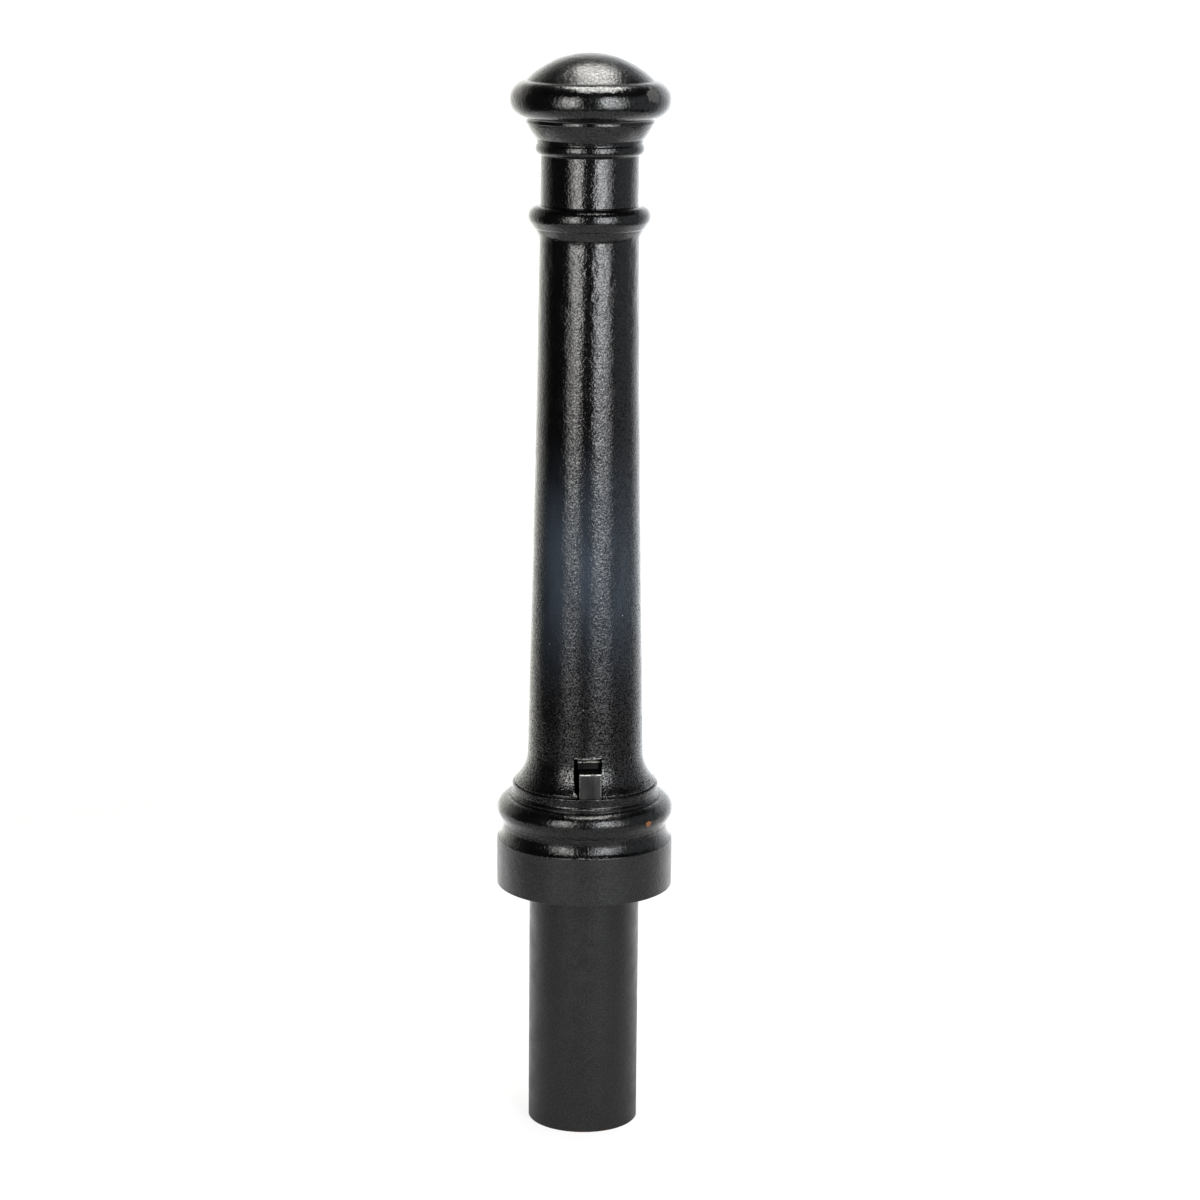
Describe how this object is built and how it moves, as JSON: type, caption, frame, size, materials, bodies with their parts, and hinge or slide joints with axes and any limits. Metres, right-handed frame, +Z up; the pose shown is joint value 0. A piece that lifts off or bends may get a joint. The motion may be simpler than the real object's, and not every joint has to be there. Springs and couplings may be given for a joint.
{
  "type": "bollard post",
  "caption": "Removable street bollard: domed cap and beads on a tapered hollow shaft, moulded collar, plain root tube, and a spring-loaded drop rod lifted by a tab in a window.",
  "frame": {"origin": "on the post's axis at the ground line, the underside of the collar", "axes": "+Z up along the post; the window with the thumb tab faces -Y"},
  "size_m": [0.212, 0.212, 1.3],
  "materials": {
    "painted_casting": "gloss black paint over a sand-cast skin",
    "painted_root": "satin black paint",
    "painted_tab": "worn satin black paint",
    "zinc_plated_steel": "dull zinc plate",
    "rod_steel": "ground bar",
    "spring_steel": "oiled",
    "bush_bronze": "machined bronze",
    "gasket_rubber": "matt"
  },
  "bodies": {
    "post": {"cap_casting": "painted_casting", "cap_gasket": "gasket_rubber", "column_casting": "painted_casting", "foot_dowels": "zinc_plated_steel", "base_casting": "painted_casting", "root_tube": "painted_root", "root_key": "zinc_plated_steel", "root_plate": "zinc_plated_steel", "tie_rod": "zinc_plated_steel", "tie_rod_washer": "zinc_plated_steel", "tie_rod_nut": "zinc_plated_steel", "lower_lock_nut": "zinc_plated_steel", "upper_lock_nut": "zinc_plated_steel", "foot_ring": "zinc_plated_steel", "bayonet_plate": "zinc_plated_steel", "bayonet_screws": "zinc_plated_steel", "upper_rod_bush": "bush_bronze", "lower_rod_bush": "bush_bronze", "return_spring": "spring_steel"},
    "locking_bolt": {"locking_rod": "rod_steel", "thumb_tab": "painted_tab", "tab_pin": "rod_steel", "spring_seat": "zinc_plated_steel", "seat_pin": "rod_steel"}
  },
  "joints": [
    {"name": "locking_rod_lift", "type": "slide", "parent": "post", "child": "locking_bolt", "axis": [0, 0, 1], "range_m": [0, 0.013], "stiffness_N_per_m": 300, "springref_m": -0.03, "deforming": ["return_spring"]}
  ]
}
